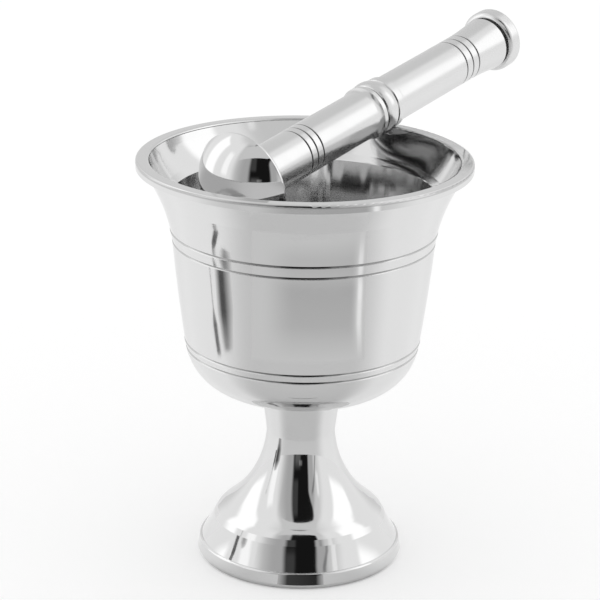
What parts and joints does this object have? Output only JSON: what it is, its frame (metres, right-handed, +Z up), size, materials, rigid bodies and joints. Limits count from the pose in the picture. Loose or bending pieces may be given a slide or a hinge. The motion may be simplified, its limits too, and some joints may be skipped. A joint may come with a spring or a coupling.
{
  "type": "mortar and pestle",
  "caption": "Footed metal mortar with a flared lip, ledged mouth and turned grooves, and a turned metal pestle with a mushroom head lying over the lip.",
  "frame": {"origin": "centre of the foot's flat underside, on the mortar's axis", "axes": "+Z up along the mortar's axis, through the centre of the mouth; the pestle's handle leaves the mouth towards +X and +Y, and -Y faces the front view"},
  "size_m": [0.1434, 0.1692, 0.1847],
  "materials": {
    "bowl_steel": "polished stainless steel, turned, with fine grooves",
    "pedestal_steel": "mirror-polished stainless steel, turned",
    "fastener_steel": "plain machined stainless steel",
    "head_steel": "mirror-polished stainless steel",
    "grip_steel": "polished stainless steel, turned",
    "rod_steel": "plain machined stainless steel, threaded ends"
  },
  "bodies": {
    "mortar": {"bowl": "bowl_steel", "pedestal": "pedestal_steel", "clamp_bolt": "fastener_steel", "clamp_washer": "fastener_steel"},
    "pestle": {"grinding_head": "head_steel", "lower_grip": "grip_steel", "middle_knop": "grip_steel", "upper_grip": "grip_steel", "end_cap": "grip_steel", "tie_rod": "rod_steel"}
  },
  "joints": [
    {"name": "pestle_lift", "type": "slide", "parent": "mortar", "child": "pestle", "axis": [0, 0, 1], "range_m": [0, 0.08]}
  ]
}
